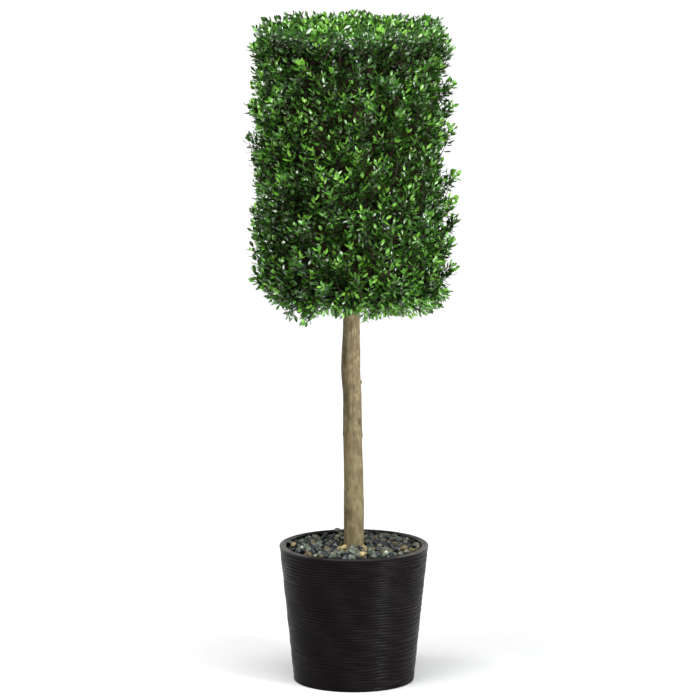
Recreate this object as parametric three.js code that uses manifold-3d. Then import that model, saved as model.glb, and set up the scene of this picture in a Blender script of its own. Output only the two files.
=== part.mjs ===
// Boxwood cylinder topiary: a clipped round column of small leaves on a bare wooden pole,
// set in a tapered black planter that is topped with gravel.
// Millimetres, +Z up. The origin is the centre of the planter's flat underside.

import * as THREE from "three";
import { mergeVertices } from "three/addons/utils/BufferGeometryUtils.js";
import Module from "manifold-3d";

// Driving dimensions
const TOTAL_HEIGHT = 1370;
const POT_HEIGHT = 284;
const POT_RIM_RADIUS = 154;
const POT_FOOT_RADIUS = 124.5;
const TRUNK_RADIUS = 20;
const CROWN_RADIUS = 204;
const CROWN_HEIGHT = 584;
const CROWN_LEAN = -7;

// Gap that neighbouring pieces keep, the length under which an edge left by a join is closed up,
// and the distance under which two corners are one
const CLEARANCE = 0.3;
const SLIVER = 0.02;
const SAME_POINT = 0.001;

// Helpers for solids

const wasm = await Module();
wasm.setup();

// Repeatable random numbers from 0 to 1
function seededRandom(seed) {
  let state = seed;
  return () => {
    state = (state + 0x6d2b79f5) | 0;
    let t = Math.imul(state ^ (state >>> 15), 1 | state);
    t = (t + Math.imul(t ^ (t >>> 7), 61 | t)) ^ t;
    return ((t ^ (t >>> 14)) >>> 0) / 4294967296;
  };
}

// Repeatable random values, each within [lowest, highest]
function valuesWithin(seed) {
  const random = seededRandom(seed);
  return ([lowest, highest]) => lowest + (highest - lowest) * random();
}

function solidFrom(geometry) {
  const bare = geometry.index ? geometry.toNonIndexed() : geometry.clone();
  bare.deleteAttribute("normal");
  bare.deleteAttribute("uv");
  const merged = mergeVertices(bare, SAME_POINT);
  return new wasm.Manifold(
    new wasm.Mesh({
      numProp: 3,
      vertProperties: merged.attributes.position.array,
      triVerts: new Uint32Array(merged.index.array),
    }),
  );
}

function geometryFrom(solid) {
  const mesh = solid.getMesh();
  const geometry = new THREE.BufferGeometry();
  geometry.setAttribute("position", new THREE.BufferAttribute(new Float32Array(mesh.vertProperties), 3));
  geometry.setIndex(new THREE.BufferAttribute(new Uint32Array(mesh.triVerts), 1));
  geometry.computeVertexNormals();
  return geometry;
}

// The largest body alone, without slivers: loose scraps and sealed hollows fall away
function wholeBody(solid) {
  const largest = solid.decompose().reduce((best, body) => (body.volume() > best.volume() ? body : best));
  return largest.simplify(SLIVER);
}

// A solid of revolution about +Z from [radius, height] points, bottom first
function turned(profile, segments) {
  const points = profile.map(([radius, height]) => new THREE.Vector2(radius, height));
  return new THREE.LatheGeometry(points, segments).rotateX(Math.PI / 2);
}

// Points of a quarter circle about (r, z), from one angle to another
function arc(r, z, radius, from, to, steps) {
  return Array.from({ length: steps + 1 }, (_, i) => {
    const angle = THREE.MathUtils.degToRad(from + ((to - from) * i) / steps);
    return [r + radius * Math.cos(angle), z + radius * Math.sin(angle)];
  });
}

// Planter: one moulded shell with a straight taper and a broad flat lip that turns inwards

const POT_SEGMENTS = 48;
const EDGE_STEPS = 3;
const POT_WALL = 7;
const POT_FLOOR = 8;
const FOOT_ROUND = 3;
const LIP_WIDTH = 14;
const LIP_DEPTH = 9;
const LIP_ROUND = 3;
const MOUTH_ROUND = 1.5;

const POT_FLARE = (POT_RIM_RADIUS - POT_FOOT_RADIUS) / POT_HEIGHT;
const MOUTH_RADIUS = POT_RIM_RADIUS - LIP_WIDTH;

function potOuterRadius(z) {
  return POT_FOOT_RADIUS + POT_FLARE * z;
}

function potInnerRadius(z) {
  return potOuterRadius(z) - POT_WALL;
}

function makePot() {
  const underLip = POT_HEIGHT - LIP_DEPTH;
  const profile = [
    [0, 0],
    ...arc(POT_FOOT_RADIUS - FOOT_ROUND, FOOT_ROUND, FOOT_ROUND, -90, 0, EDGE_STEPS),
    ...arc(POT_RIM_RADIUS - LIP_ROUND, POT_HEIGHT - LIP_ROUND, LIP_ROUND, 0, 90, EDGE_STEPS),
    ...arc(MOUTH_RADIUS + MOUTH_ROUND, POT_HEIGHT - MOUTH_ROUND, MOUTH_ROUND, 90, 180, EDGE_STEPS),
    [MOUTH_RADIUS, underLip],
    [potInnerRadius(underLip), underLip],
    [potInnerRadius(POT_FLOOR), POT_FLOOR],
    [0, POT_FLOOR],
  ];
  return turned(profile, POT_SEGMENTS);
}

// Trunk: a bare round pole, slightly bent and swollen below the crown, cut flat at both ends

const TRUNK_SIDES = 18;
const TRUNK_RINGS = 22;
const TRUNK_FOOT_Z = 40;
const TRUNK_TOP_Z = 1290;

// [height, sideways shift, radius] where the pole changes
const TRUNK_STATIONS = [
  [TRUNK_FOOT_Z, 0, TRUNK_RADIUS * 1.08],
  [340, 0, TRUNK_RADIUS * 1.06],
  [430, -0.5, TRUNK_RADIUS * 1.02],
  [500, -2, TRUNK_RADIUS * 0.97],
  [590, -2.8, TRUNK_RADIUS * 0.96],
  [655, -6.4, TRUNK_RADIUS * 0.99],
  [745, -4.8, TRUNK_RADIUS * 0.88],
  [TRUNK_TOP_Z, CROWN_LEAN, TRUNK_RADIUS * 0.75],
];

// Shift and radius of the pole at a height, by smooth steps between the stations
function trunkAt(z) {
  const last = TRUNK_STATIONS.length - 2;
  const found = TRUNK_STATIONS.findIndex((station, i) => i <= last && z <= TRUNK_STATIONS[i + 1][0]);
  const i = found < 0 ? last : found;
  const [z0, shift0, radius0] = TRUNK_STATIONS[i];
  const [z1, shift1, radius1] = TRUNK_STATIONS[i + 1];
  const t = THREE.MathUtils.smoothstep(z, z0, z1);
  return { shift: shift0 + (shift1 - shift0) * t, radius: radius0 + (radius1 - radius0) * t };
}

// The pole's geometry, grown on all sides by an allowance where it is used as a cutter
function makeTrunk(allowance = 0) {
  const bottom = TRUNK_FOOT_Z - allowance;
  const height = TRUNK_TOP_Z + allowance - bottom;
  const geometry = new THREE.CylinderGeometry(1, 1, height, TRUNK_SIDES, TRUNK_RINGS);
  geometry.rotateX(Math.PI / 2).translate(0, 0, bottom + height / 2);
  const position = geometry.getAttribute("position");
  const grown = allowance / Math.cos(Math.PI / TRUNK_SIDES);
  for (let i = 0; i < position.count; i++) {
    const z = position.getZ(i);
    const { shift, radius } = trunkAt(THREE.MathUtils.clamp(z, TRUNK_FOOT_Z, TRUNK_TOP_Z));
    const reach = radius + grown;
    position.setXY(i, shift + position.getX(i) * reach, position.getY(i) * reach);
  }
  return geometry;
}

const trunkCutter = solidFrom(makeTrunk(CLEARANCE));

// Ballast: the cast block that fills the planter below the gravel and holds the pole

const BALLAST_TOP_Z = 252;

function makeBallast() {
  const bottom = POT_FLOOR + CLEARANCE;
  const profile = [
    [0, bottom],
    [potInnerRadius(bottom) - CLEARANCE, bottom],
    [potInnerRadius(BALLAST_TOP_Z) - CLEARANCE, BALLAST_TOP_Z],
    [0, BALLAST_TOP_Z],
  ];
  return geometryFrom(solidFrom(turned(profile, POT_SEGMENTS)).subtract(trunkCutter));
}

// Gravel: a bed of crushed stones, glued together, that rises almost to the lip.
// Each stone is larger than life and stands for a few; they lie in a spiral that spaces them evenly.

const BED_TOP_Z = 272;
const STONE_RADIUS = 12;
const STONE_SPACING = 1.55;
const STONE_SEED = 11;
const STONE_LENGTH_SHARES = [0.85, 1.2];
const STONE_WIDTH_SHARES = [0.65, 0.95];
const STONE_HEIGHT_SHARES = [0.5, 0.75];
const STONE_RISE_SHARES = [0.1, 0.6];
const STONE_TILT = 1;
const STONE_EDGE_ROOM = 1.25;
const GOLDEN_ANGLE = Math.PI * (3 - Math.sqrt(5));

function makeStone(within) {
  const stone = new THREE.IcosahedronGeometry(STONE_RADIUS, 0);
  stone.scale(within(STONE_LENGTH_SHARES), within(STONE_WIDTH_SHARES), within(STONE_HEIGHT_SHARES));
  const tilt = () => within([-STONE_TILT / 2, STONE_TILT / 2]);
  return stone.rotateX(tilt()).rotateY(tilt()).rotateZ(within([0, 2 * Math.PI]));
}

function makeGravel() {
  const within = valuesWithin(STONE_SEED);
  const bottom = BALLAST_TOP_Z + CLEARANCE;
  const outside = MOUTH_RADIUS - CLEARANCE;
  const bed = turned([[0, bottom], [outside, bottom], [outside, BED_TOP_Z], [0, BED_TOP_Z]], POT_SEGMENTS);
  const pieces = [solidFrom(bed)];
  const edge = outside - STONE_RADIUS * STONE_EDGE_ROOM;
  const count = Math.round((edge / (STONE_RADIUS * STONE_SPACING)) ** 2);
  for (let i = 0; i < count; i++) {
    const radius = edge * Math.sqrt((i + 0.5) / count);
    if (radius < TRUNK_RADIUS) continue;
    const angle = i * GOLDEN_ANGLE;
    const height = BED_TOP_Z + STONE_RADIUS * within(STONE_RISE_SHARES);
    const stone = makeStone(within).translate(radius * Math.cos(angle), radius * Math.sin(angle), height);
    pieces.push(solidFrom(stone));
  }
  return geometryFrom(wholeBody(wasm.Manifold.union(pieces).subtract(trunkCutter)));
}

// Crown: one clipped mass. Leafy sprigs stand out of a smaller round core, row above row,
// and end at one cylinder's surface. A few stray sprigs on the side stand out past it.
// Each leaf is larger than life and stands for a spray of small ones.
// The crown is made round its own axis and then moved sideways by its lean.

const CROWN_TOP_Z = TOTAL_HEIGHT;
const CROWN_BOTTOM_Z = TOTAL_HEIGHT - CROWN_HEIGHT;
const CORE_DEPTH = 36;
const CORE_ROUND = 16;
const CORE_SEGMENTS = 20;
const CORE_STEP = 66;
const CORE_ROUGHNESS = 9;
const CORE_DENTS_ROUND = 9;
const CORE_WAVES_ROUND = 11;
const CORE_RADIUS = CROWN_RADIUS - CORE_DEPTH;
const CORE_TOP_Z = CROWN_TOP_Z - CORE_DEPTH;
const CORE_BOTTOM_Z = CROWN_BOTTOM_Z + CORE_DEPTH;

const SPRIG_SPACING = 72;
const ROW_SPACING = 75;
const SPRIG_RADIUS = 3;
const SPRIG_TIP_SHARE = 0.6;
const SPRIG_ROOT = 8;
const SPRIG_SEED = 6;
const SPRIG_UPSWEEP = 12;
const SPRIG_END_SPLAY = 0.4;
const SPRIG_TURN_JITTER = 0.25;
const SPRIG_LIFT_JITTER = 15;
const SPRIG_HEIGHT_JITTER = 10;
const SPRIG_SHORTFALL = 8;
const STRAY_SHARE = 0.1;
const STRAY_REACH = 20;
const TRUNK_SPACE = 6;

const LEAF_LENGTH = 54;
const LEAF_WIDTH = 33;
const LEAF_THICKNESS = 2.4;
const LEAF_WIDEST = 0.58;
const SHORTEST_LEAF = 0.5;
const LEAF_FOOT_OFFSET = 0.2;
const LOWER_PAIR_PLACE = 0.35;
const LOWER_PAIR_TILT = THREE.MathUtils.degToRad(76);
const UPPER_PAIR_TILT = THREE.MathUtils.degToRad(52);
const LEAF_SWINGS = [0, 0.4, -0.4, 0.8, -0.8];

// The core's outline as [radius, height, outward angle in degrees], every step along it
function coreOutline(step) {
  const flat = CORE_RADIUS - CORE_ROUND;
  const side = CORE_TOP_Z - CORE_BOTTOM_Z - 2 * CORE_ROUND;
  const corner = (CORE_ROUND * Math.PI) / 2;
  const length = 2 * flat + 2 * corner + side;
  const rows = Math.round(length / step);
  return Array.from({ length: rows + 1 }, (_, i) => {
    let s = (length * i) / rows;
    if (s < flat) return [s, CORE_BOTTOM_Z, -90];
    s -= flat;
    if (s < corner) return cornerPoint(flat, CORE_BOTTOM_Z + CORE_ROUND, (s / corner) * 90 - 90);
    s -= corner;
    if (s < side) return [CORE_RADIUS, CORE_BOTTOM_Z + CORE_ROUND + s, 0];
    s -= side;
    if (s < corner) return cornerPoint(flat, CORE_TOP_Z - CORE_ROUND, (s / corner) * 90);
    s -= corner;
    return [Math.max(flat - s, 0), CORE_TOP_Z, 90];
  });
}

function cornerPoint(r, z, degrees) {
  const angle = THREE.MathUtils.degToRad(degrees);
  return [r + CORE_ROUND * Math.cos(angle), z + CORE_ROUND * Math.sin(angle), degrees];
}

// The core is rough, as packed inner leaves are: each point of it moves in or out and up or down
function makeCore() {
  const core = turned(coreOutline(CORE_STEP), CORE_SEGMENTS);
  const position = core.getAttribute("position");
  for (let i = 0; i < position.count; i++) {
    const [x, y, z] = [position.getX(i), position.getY(i), position.getZ(i)];
    const angle = Math.atan2(y, x);
    const offAxis = Math.hypot(x, y) / CORE_RADIUS;
    const swell = 1 + (Math.sin(CORE_DENTS_ROUND * angle + z) * CORE_ROUGHNESS) / CORE_RADIUS;
    const rise = Math.cos(CORE_WAVES_ROUND * angle - z) * CORE_ROUGHNESS * offAxis;
    position.setXYZ(i, x * swell, y * swell, z + rise);
  }
  return core;
}

// How far a straight line from inside the crown runs before it meets the clipped outline
function reachToOutline(from, direction) {
  const side = Math.max(Math.hypot(direction.x, direction.y), Number.EPSILON);
  const across = (from.x * direction.x + from.y * direction.y) / side;
  const halfChord = Math.sqrt(Math.max(CROWN_RADIUS ** 2 - from.x ** 2 - from.y ** 2 + across ** 2, 0));
  const toSide = (halfChord - across) / side;
  const end = direction.z > 0 ? CROWN_TOP_Z : CROWN_BOTTOM_Z;
  const toEnd = direction.z === 0 ? Infinity : (end - from.z) / direction.z;
  return Math.min(toSide, toEnd);
}

// Turns local +Z to a direction and local +Y to a face, and moves the origin to a place
function placing(origin, direction, face) {
  const side = new THREE.Vector3().crossVectors(face, direction).normalize();
  const front = new THREE.Vector3().crossVectors(direction, side);
  return new THREE.Matrix4().makeBasis(side, front, direction).setPosition(origin);
}

// One leaf from the origin along +Z: a thin eight-faced lens, widest past its middle
function makeLeaf(length) {
  const leaf = new THREE.OctahedronGeometry(1, 0);
  const width = (LEAF_WIDTH * length) / LEAF_LENGTH;
  leaf.scale(width / 2, LEAF_THICKNESS / 2, length / 2).translate(0, 0, length / 2);
  const position = leaf.getAttribute("position");
  for (let i = 0; i < position.count; i++) {
    const atMiddle = Math.abs(position.getZ(i) - length / 2) < length / 4;
    if (atMiddle) position.setZ(i, length * LEAF_WIDEST);
  }
  return leaf;
}

// A direction square to a sprig, turned about it by an angle
function aroundSprig(direction, angle) {
  const steep = Math.abs(direction.z) > Math.SQRT1_2;
  const helper = steep ? new THREE.Vector3(1, 0, 0) : new THREE.Vector3(0, 0, 1);
  return new THREE.Vector3().crossVectors(direction, helper).normalize().applyAxisAngle(direction, angle);
}

// Whether a leaf's tip lies in the space that sprigs and leaves leave free round the pole
function meetsTrunk(tip) {
  const { shift, radius } = trunkAt(tip.z);
  return Math.hypot(tip.x + CROWN_LEAN - shift, tip.y) < radius + TRUNK_SPACE;
}

// A three-sided twig from inside the core to its last leaves
function makeTwig({ root, direction, stem, phase }) {
  const twig = new THREE.CylinderGeometry(SPRIG_RADIUS * SPRIG_TIP_SHARE, SPRIG_RADIUS, stem + SPRIG_ROOT, 3);
  twig.rotateX(Math.PI / 2).translate(0, 0, (stem - SPRIG_ROOT) / 2);
  return solidFrom(twig.applyMatrix4(placing(root, direction, aroundSprig(direction, phase))));
}

// A leaf that leans away from its twig by a tilt, with its foot sunk in the twig and its tip trimmed
function makeTwigLeaf({ root, direction, stray }, along, tilt, turn) {
  const outward = aroundSprig(direction, turn);
  const aim = direction.clone().multiplyScalar(Math.cos(tilt)).addScaledVector(outward, Math.sin(tilt));
  const face = direction.clone().multiplyScalar(Math.sin(tilt)).addScaledVector(outward, -Math.cos(tilt));
  const foot = root.clone().addScaledVector(direction, along);
  foot.addScaledVector(outward, SPRIG_RADIUS * LEAF_FOOT_OFFSET);
  const room = reachToOutline(foot, aim) + stray;
  const length = THREE.MathUtils.clamp(room, LEAF_LENGTH * SHORTEST_LEAF, LEAF_LENGTH);
  const tip = foot.clone().addScaledVector(aim, length);
  return { tip, solid: solidFrom(makeLeaf(length).applyMatrix4(placing(foot, aim, face))) };
}

// Pairs of opposite leaves up a twig, each pair a quarter turn from the last.
// A leaf swings a little to miss what is already there, and is left off where no swing frees it.
function makeLeaves(sprig, taken) {
  const pairs = [
    { along: sprig.stem * LOWER_PAIR_PLACE, tilt: LOWER_PAIR_TILT, turn: sprig.phase },
    { along: sprig.stem - SPRIG_RADIUS, tilt: UPPER_PAIR_TILT, turn: sprig.phase + Math.PI / 2 },
  ];
  const leaves = [];
  for (const { along, tilt, turn } of pairs) {
    for (const side of [0, Math.PI]) {
      const tries = LEAF_SWINGS.map((swing) => makeTwigLeaf(sprig, along, tilt, turn + side + swing));
      const free = tries.find(({ tip, solid }) => {
        return !meetsTrunk(tip) && !taken.some((other) => meet(solid, other));
      });
      if (free) leaves.push(free.solid);
    }
  }
  return leaves;
}

function meet(a, b) {
  const boxA = a.boundingBox();
  const boxB = b.boundingBox();
  const apart = [0, 1, 2].some((k) => boxA.min[k] > boxB.max[k] || boxB.min[k] > boxA.max[k]);
  return !apart && !a.intersect(b).isEmpty();
}

// The point at a radius and angle round +Z, at a height
function upright(radius, angle, height) {
  return new THREE.Vector3(radius * Math.cos(angle), radius * Math.sin(angle), height);
}

// Sprigs in rings on the core, ring above ring, as { root, direction, stem, phase, stray }
function placeSprigs() {
  const within = valuesWithin(SPRIG_SEED);
  const jitter = (amount) => within([-amount, amount]);
  const sprigs = [];
  coreOutline(ROW_SPACING).forEach(([ringRadius, z, outward], row) => {
    const count = Math.max(1, Math.round((2 * Math.PI * ringRadius) / SPRIG_SPACING));
    const splayed = outward * (1 - (SPRIG_END_SPLAY * ringRadius) / CORE_RADIUS);
    for (let i = 0; i < count; i++) {
      const angle = (2 * Math.PI * (i + (row % 2) / 2 + jitter(SPRIG_TURN_JITTER))) / count;
      const lift = THREE.MathUtils.degToRad(splayed + SPRIG_UPSWEEP + jitter(SPRIG_LIFT_JITTER));
      const direction = upright(Math.cos(lift), angle, Math.sin(lift));
      const root = upright(ringRadius, angle, z + jitter(SPRIG_HEIGHT_JITTER));
      const stray = within([0, 1]) < STRAY_SHARE && outward === 0 ? STRAY_REACH : 0;
      const trimmed = reachToOutline(root, direction) - within([0, SPRIG_SHORTFALL]);
      const stem = trimmed + stray - LEAF_LENGTH * Math.cos(UPPER_PAIR_TILT);
      const phase = within([0, Math.PI]);
      const blocked = outward < 0 && ringRadius < TRUNK_RADIUS * 2;
      if (!blocked) sprigs.push({ root, direction, stem, phase, stray });
    }
  });
  return sprigs;
}

function makeCrown() {
  const sprigs = placeSprigs();
  const taken = sprigs.map(makeTwig);
  sprigs.forEach((sprig, own) => {
    taken.push(...makeLeaves(sprig, taken.filter((_, i) => i !== own)));
  });
  const mass = wasm.Manifold.union([solidFrom(makeCore()), ...taken]).translate([CROWN_LEAN, 0, 0]);
  return geometryFrom(wholeBody(mass.subtract(trunkCutter)));
}

// Assembly

const FINISHES = {
  pot: { color: "#262524", roughness: 0.45, metalness: 0 },
  ballast: { color: "#8c8880", roughness: 0.95, metalness: 0 },
  gravel: { color: "#6c6c64", roughness: 0.7, metalness: 0 },
  trunk: { color: "#93815f", roughness: 0.85, metalness: 0 },
  crown: { color: "#3c5f26", roughness: 0.55, metalness: 0 },
};

const topiary = new THREE.Group();

function addPiece(name, geometry) {
  const mesh = new THREE.Mesh(geometry, new THREE.MeshStandardMaterial(FINISHES[name]));
  mesh.name = name;
  topiary.add(mesh);
}

addPiece("pot", makePot());
addPiece("ballast", makeBallast());
addPiece("gravel", makeGravel());
addPiece("trunk", makeTrunk());
addPiece("crown", makeCrown());

export default topiary;
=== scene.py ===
import math
import random

import bmesh
import bpy
import numpy as np
from mathutils import Matrix, Vector


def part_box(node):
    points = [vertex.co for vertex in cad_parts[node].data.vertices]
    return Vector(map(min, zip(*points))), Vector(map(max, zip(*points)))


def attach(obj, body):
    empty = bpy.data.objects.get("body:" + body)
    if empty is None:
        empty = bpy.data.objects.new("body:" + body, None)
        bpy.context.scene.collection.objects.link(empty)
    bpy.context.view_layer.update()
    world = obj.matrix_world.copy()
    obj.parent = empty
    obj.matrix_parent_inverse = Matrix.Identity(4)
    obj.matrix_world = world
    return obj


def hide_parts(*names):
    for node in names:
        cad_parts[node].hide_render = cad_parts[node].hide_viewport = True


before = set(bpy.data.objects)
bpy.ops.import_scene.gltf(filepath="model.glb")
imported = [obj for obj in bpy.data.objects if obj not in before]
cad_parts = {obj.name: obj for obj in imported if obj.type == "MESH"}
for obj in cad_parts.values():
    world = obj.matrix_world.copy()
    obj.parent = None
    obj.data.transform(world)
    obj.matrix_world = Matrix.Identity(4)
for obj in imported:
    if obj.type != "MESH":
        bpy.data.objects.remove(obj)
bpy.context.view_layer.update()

# Planter
# One shell of black resin, moulded in one piece, whose side has fine uneven ribs like wound cord.
# It tapers straight to a flat foot, and its broad flat lip has faint rings and is greyer towards its left and
# right sides.

POT_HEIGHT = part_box("pot")[1].z
POT_RIM_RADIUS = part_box("pot")[1].x
POT_FOOT_RADIUS = 0.1245
POT_WALL = 0.007
POT_FLOOR = 0.008
POT_STEPS_ROUND = 240
POT_FOOT_ROUND = 0.003
INNERMOST_RING = 0.010
LIP_WIDTH = 0.014
LIP_DEPTH = 0.009
LIP_ROUND = 0.003
LIP_INNER_ROUND = 0.0012
LIP_ROWS = 26
LIP_RING_PITCH = 0.0034
LIP_RING_DEPTH = 0.0008
LIP_WEAR_DEPTH = 0.0028
LIP_FULL_WEAR_DEPTH = 0.0006
RIB_PITCH = 0.0060
RIB_DEPTH = 0.0018
RIB_SWELL = 0.42
RIB_SWELLS_ROUND = 7
RIB_ROWS = 300
RIB_SWING = 0.09
RIB_WAVES = (1, 2, 3, 5, 8, 13, 21)
RIB_SLOPE = 45
RIB_MERGES = 90
RIB_MERGE_STRETCH = 9
RIB_FADE = 0.004
FULL_TURN = 2 * math.pi
WAVE_STARTS = (0, 6.3)


def linear(hex_colour):
    """An sRGB hex colour as linear red, green and blue with full alpha."""
    channels = [int(hex_colour[i : i + 2], 16) / 255 for i in (1, 3, 5)]
    return [c / 12.92 if c <= 0.04045 else ((c + 0.055) / 1.055) ** 2.4 for c in channels] + [1.0]


def add_node(tree, kind, inputs=(), **settings):
    """A node with its settings. Each input, by name or number, takes a value or the output that feeds it."""
    node = tree.nodes.new(kind)
    for name, value in settings.items():
        setattr(node, name, value)
    for socket, value in dict(inputs).items():
        if isinstance(value, bpy.types.NodeSocket):
            tree.links.new(value, node.inputs[socket])
        else:
            node.inputs[socket].default_value = value
    return node


def new_material(name):
    """An empty material and its node tree."""
    material = bpy.data.materials.new(name)
    material.use_nodes = True
    material.node_tree.nodes.clear()
    return material, material.node_tree


def linked_object(name, data):
    """An object of a mesh, a light or a camera, put in the scene."""
    piece = bpy.data.objects.new(name, data)
    bpy.context.scene.collection.objects.link(piece)
    return piece


def turned_mesh(name, rings, smooth=True):
    """A closed mesh of rings of points, each ring joined to the next, with a point at either end."""
    rows, steps = rings.shape[:2]
    ends = [rings[0].mean(axis=0), rings[-1].mean(axis=0)]
    points = np.concatenate([rings.reshape(-1, 3), ends])
    row, step = np.meshgrid(np.arange(rows - 1), np.arange(steps), indexing="ij")
    here, after = row * steps + step, row * steps + (step + 1) % steps
    faces = np.stack([here, after, after + steps, here + steps], axis=-1).reshape(-1, 4).tolist()
    first, last = rows * steps, (rows - 1) * steps
    faces += [(first, (j + 1) % steps, j) for j in range(steps)]
    faces += [(first + 1, last + j, last + (j + 1) % steps) for j in range(steps)]
    mesh = bpy.data.meshes.new(name)
    mesh.from_pydata(points.tolist(), [], faces)
    mesh.polygons.foreach_set("use_smooth", [smooth] * len(mesh.polygons))
    return linked_object(name, mesh)


def quarter(radius_at, height_at, size, start, steps):
    """Points [radius, height] of a quarter circle, turning up and inwards from a start in degrees."""
    turns = np.radians(np.linspace(start, start + 90, steps + 1))
    return [[radius_at + size * math.cos(t), height_at + size * math.sin(t)] for t in turns]


def planter_outer_radius(height):
    """The radius of the planter's straight side at a height, on the crests of its ribs."""
    return POT_FOOT_RADIUS + (POT_RIM_RADIUS - POT_FOOT_RADIUS) * height / POT_HEIGHT


def rib_field(angles, heights, seed):
    """Wound ribs at every angle and height: 0 in a groove and 1 on a rib, where ribs end and merge."""
    draw = random.Random(seed)
    turn, height = np.meshgrid(angles, heights)
    phase = height / RIB_PITCH
    for waves_round in RIB_WAVES:
        swing = RIB_SWING / waves_round ** 0.6
        slope = draw.uniform(-RIB_SLOPE, RIB_SLOPE)
        phase = phase + swing * np.sin(waves_round * turn + slope * height + draw.uniform(*WAVE_STARTS))
    for _ in range(RIB_MERGES):
        at_turn, at_height = draw.uniform(0, FULL_TURN), draw.uniform(0, POT_HEIGHT)
        along = POT_RIM_RADIUS * np.sin(turn - at_turn)
        across = RIB_MERGE_STRETCH * (height - at_height)
        phase = phase + draw.choice((-1, 1)) * np.arctan2(across, along) / FULL_TURN
    strand = np.floor(phase)
    swell = 1 - RIB_SWELL * (1 + np.sin(turn * (RIB_SWELLS_ROUND + strand % 6) + 2.4 * strand)) / 2
    return swell * np.abs(np.sin(math.pi * phase)) ** 0.5


mouth_radius = POT_RIM_RADIUS - LIP_WIDTH
under_lip = POT_HEIGHT - LIP_DEPTH
foot_flat = POT_FOOT_RADIUS - POT_FOOT_ROUND
side_heights = np.linspace(POT_FOOT_ROUND, POT_HEIGHT - LIP_ROUND, RIB_ROWS)
side = [[planter_outer_radius(h), h] for h in side_heights]
below = [[INNERMOST_RING, 0], [foot_flat / 2, 0]]
below += quarter(foot_flat, POT_FOOT_ROUND, POT_FOOT_ROUND, -90, 4)[:-1]
lip_radii = np.linspace(POT_RIM_RADIUS - LIP_ROUND, mouth_radius + LIP_INNER_ROUND, LIP_ROWS)
lip_dips = LIP_RING_DEPTH * (0.5 - 0.5 * np.cos(FULL_TURN * lip_radii / LIP_RING_PITCH))
over = quarter(POT_RIM_RADIUS - LIP_ROUND, POT_HEIGHT - LIP_ROUND, LIP_ROUND, 0, 4)[1:-1]
over += [[r, POT_HEIGHT - dip] for r, dip in zip(lip_radii, lip_dips)]
inside_top = planter_outer_radius(under_lip) - POT_WALL
inside_foot = planter_outer_radius(POT_FLOOR) - POT_WALL
inner = [[mouth_radius, POT_HEIGHT - LIP_INNER_ROUND], [mouth_radius, under_lip], [inside_top, under_lip]]
inner += [[inside_foot, POT_FLOOR], [INNERMOST_RING, POT_FLOOR]]
profile = np.array(below + side + over + inner)

angles = np.linspace(0, FULL_TURN, POT_STEPS_ROUND, endpoint=False)
radii = np.repeat(profile[:, :1], POT_STEPS_ROUND, axis=1)
ribs = rib_field(angles, side_heights, seed=3)
from_edges = np.minimum(side_heights - side_heights[0], side_heights[-1] - side_heights)
fade = np.clip(from_edges / RIB_FADE, 0, 1)[:, None]
radii[len(below) : len(below) + RIB_ROWS] -= RIB_DEPTH * (1 - ribs) * fade
levels = np.repeat(profile[:, 1:], POT_STEPS_ROUND, axis=1)
rings = np.stack([radii * np.cos(angles), radii * np.sin(angles), levels], axis=-1)
planter = turned_mesh("planter", rings)
crests = np.full(len(planter.data.vertices), 0.5, np.float32)
first = len(below) * POT_STEPS_ROUND
crests[first : first + ribs.size] = ribs.ravel()
planter.data.attributes.new("crest", "FLOAT", "POINT").data.foreach_set("value", crests)

# Injection-moulded black resin: a dark neutral body with a soft sheen, mottled in patches of about
# 40 mm, its ribs' grooves darker and their crests lighter as painted shade and painted highlight, and
# greyer on the top of the lip, most towards its left and right sides. The mould's fine grain is drawn
# at 2 mm, so that it shows.
resin, tree = new_material("moulded black resin")
where = add_node(tree, "ShaderNodeTexCoord").outputs["Object"]
mottle = add_node(tree, "ShaderNodeTexNoise", {"Vector": where, "Scale": 24.0, "Detail": 3.0}).outputs["Fac"]
grain = add_node(tree, "ShaderNodeTexNoise", {"Vector": where, "Scale": 500.0, "Detail": 2.0}).outputs["Fac"]
crest = add_node(tree, "ShaderNodeAttribute", attribute_name="crest").outputs["Fac"]
# Painted shade and painted highlight: the ribs' grooves are darker and their crests lighter
painted_rib_light_and_shade = add_node(
    tree, "ShaderNodeMapRange", {"Value": crest, "From Min": 0.3, "From Max": 0.9, "To Max": 1.3}
).outputs["Result"]
mottle_and_painted_rib_shade = add_node(tree, "ShaderNodeMath", {0: mottle, 1: painted_rib_light_and_shade}, operation="MULTIPLY").outputs["Value"]
body = add_node(
    tree, "ShaderNodeMix", {0: mottle_and_painted_rib_shade, 6: linear("#070405"), 7: linear("#1a1516")}, data_type="RGBA"
).outputs[2]
apart = add_node(tree, "ShaderNodeSeparateXYZ", {"Vector": where}).outputs
# The top of the lip is greyer in patches, most towards its left and right sides
near_lip = add_node(
    tree,
    "ShaderNodeMapRange",
    {
        "Value": apart["Z"],
        "From Min": POT_HEIGHT - LIP_WEAR_DEPTH,
        "From Max": POT_HEIGHT - LIP_FULL_WEAR_DEPTH,
    },
).outputs["Result"]
sideways = add_node(tree, "ShaderNodeMath", {0: apart["X"]}, operation="ABSOLUTE").outputs["Value"]
toward_lip_sides = add_node(
    tree,
    "ShaderNodeMapRange",
    {"Value": sideways, "From Min": 0.08, "From Max": 0.15, "To Min": 0.15, "To Max": 1.3},
).outputs["Result"]
greyer_lip_mask = add_node(tree, "ShaderNodeMath", {0: near_lip, 1: toward_lip_sides}, operation="MULTIPLY").outputs["Value"]
worn = add_node(tree, "ShaderNodeMath", {0: greyer_lip_mask, 1: mottle}, operation="MULTIPLY").outputs["Value"]
colour = add_node(tree, "ShaderNodeMix", {0: worn, 6: body, 7: linear("#62615e")}, data_type="RGBA")
sheen = add_node(tree, "ShaderNodeMapRange", {"Value": mottle, "To Min": 0.30, "To Max": 0.46})
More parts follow.
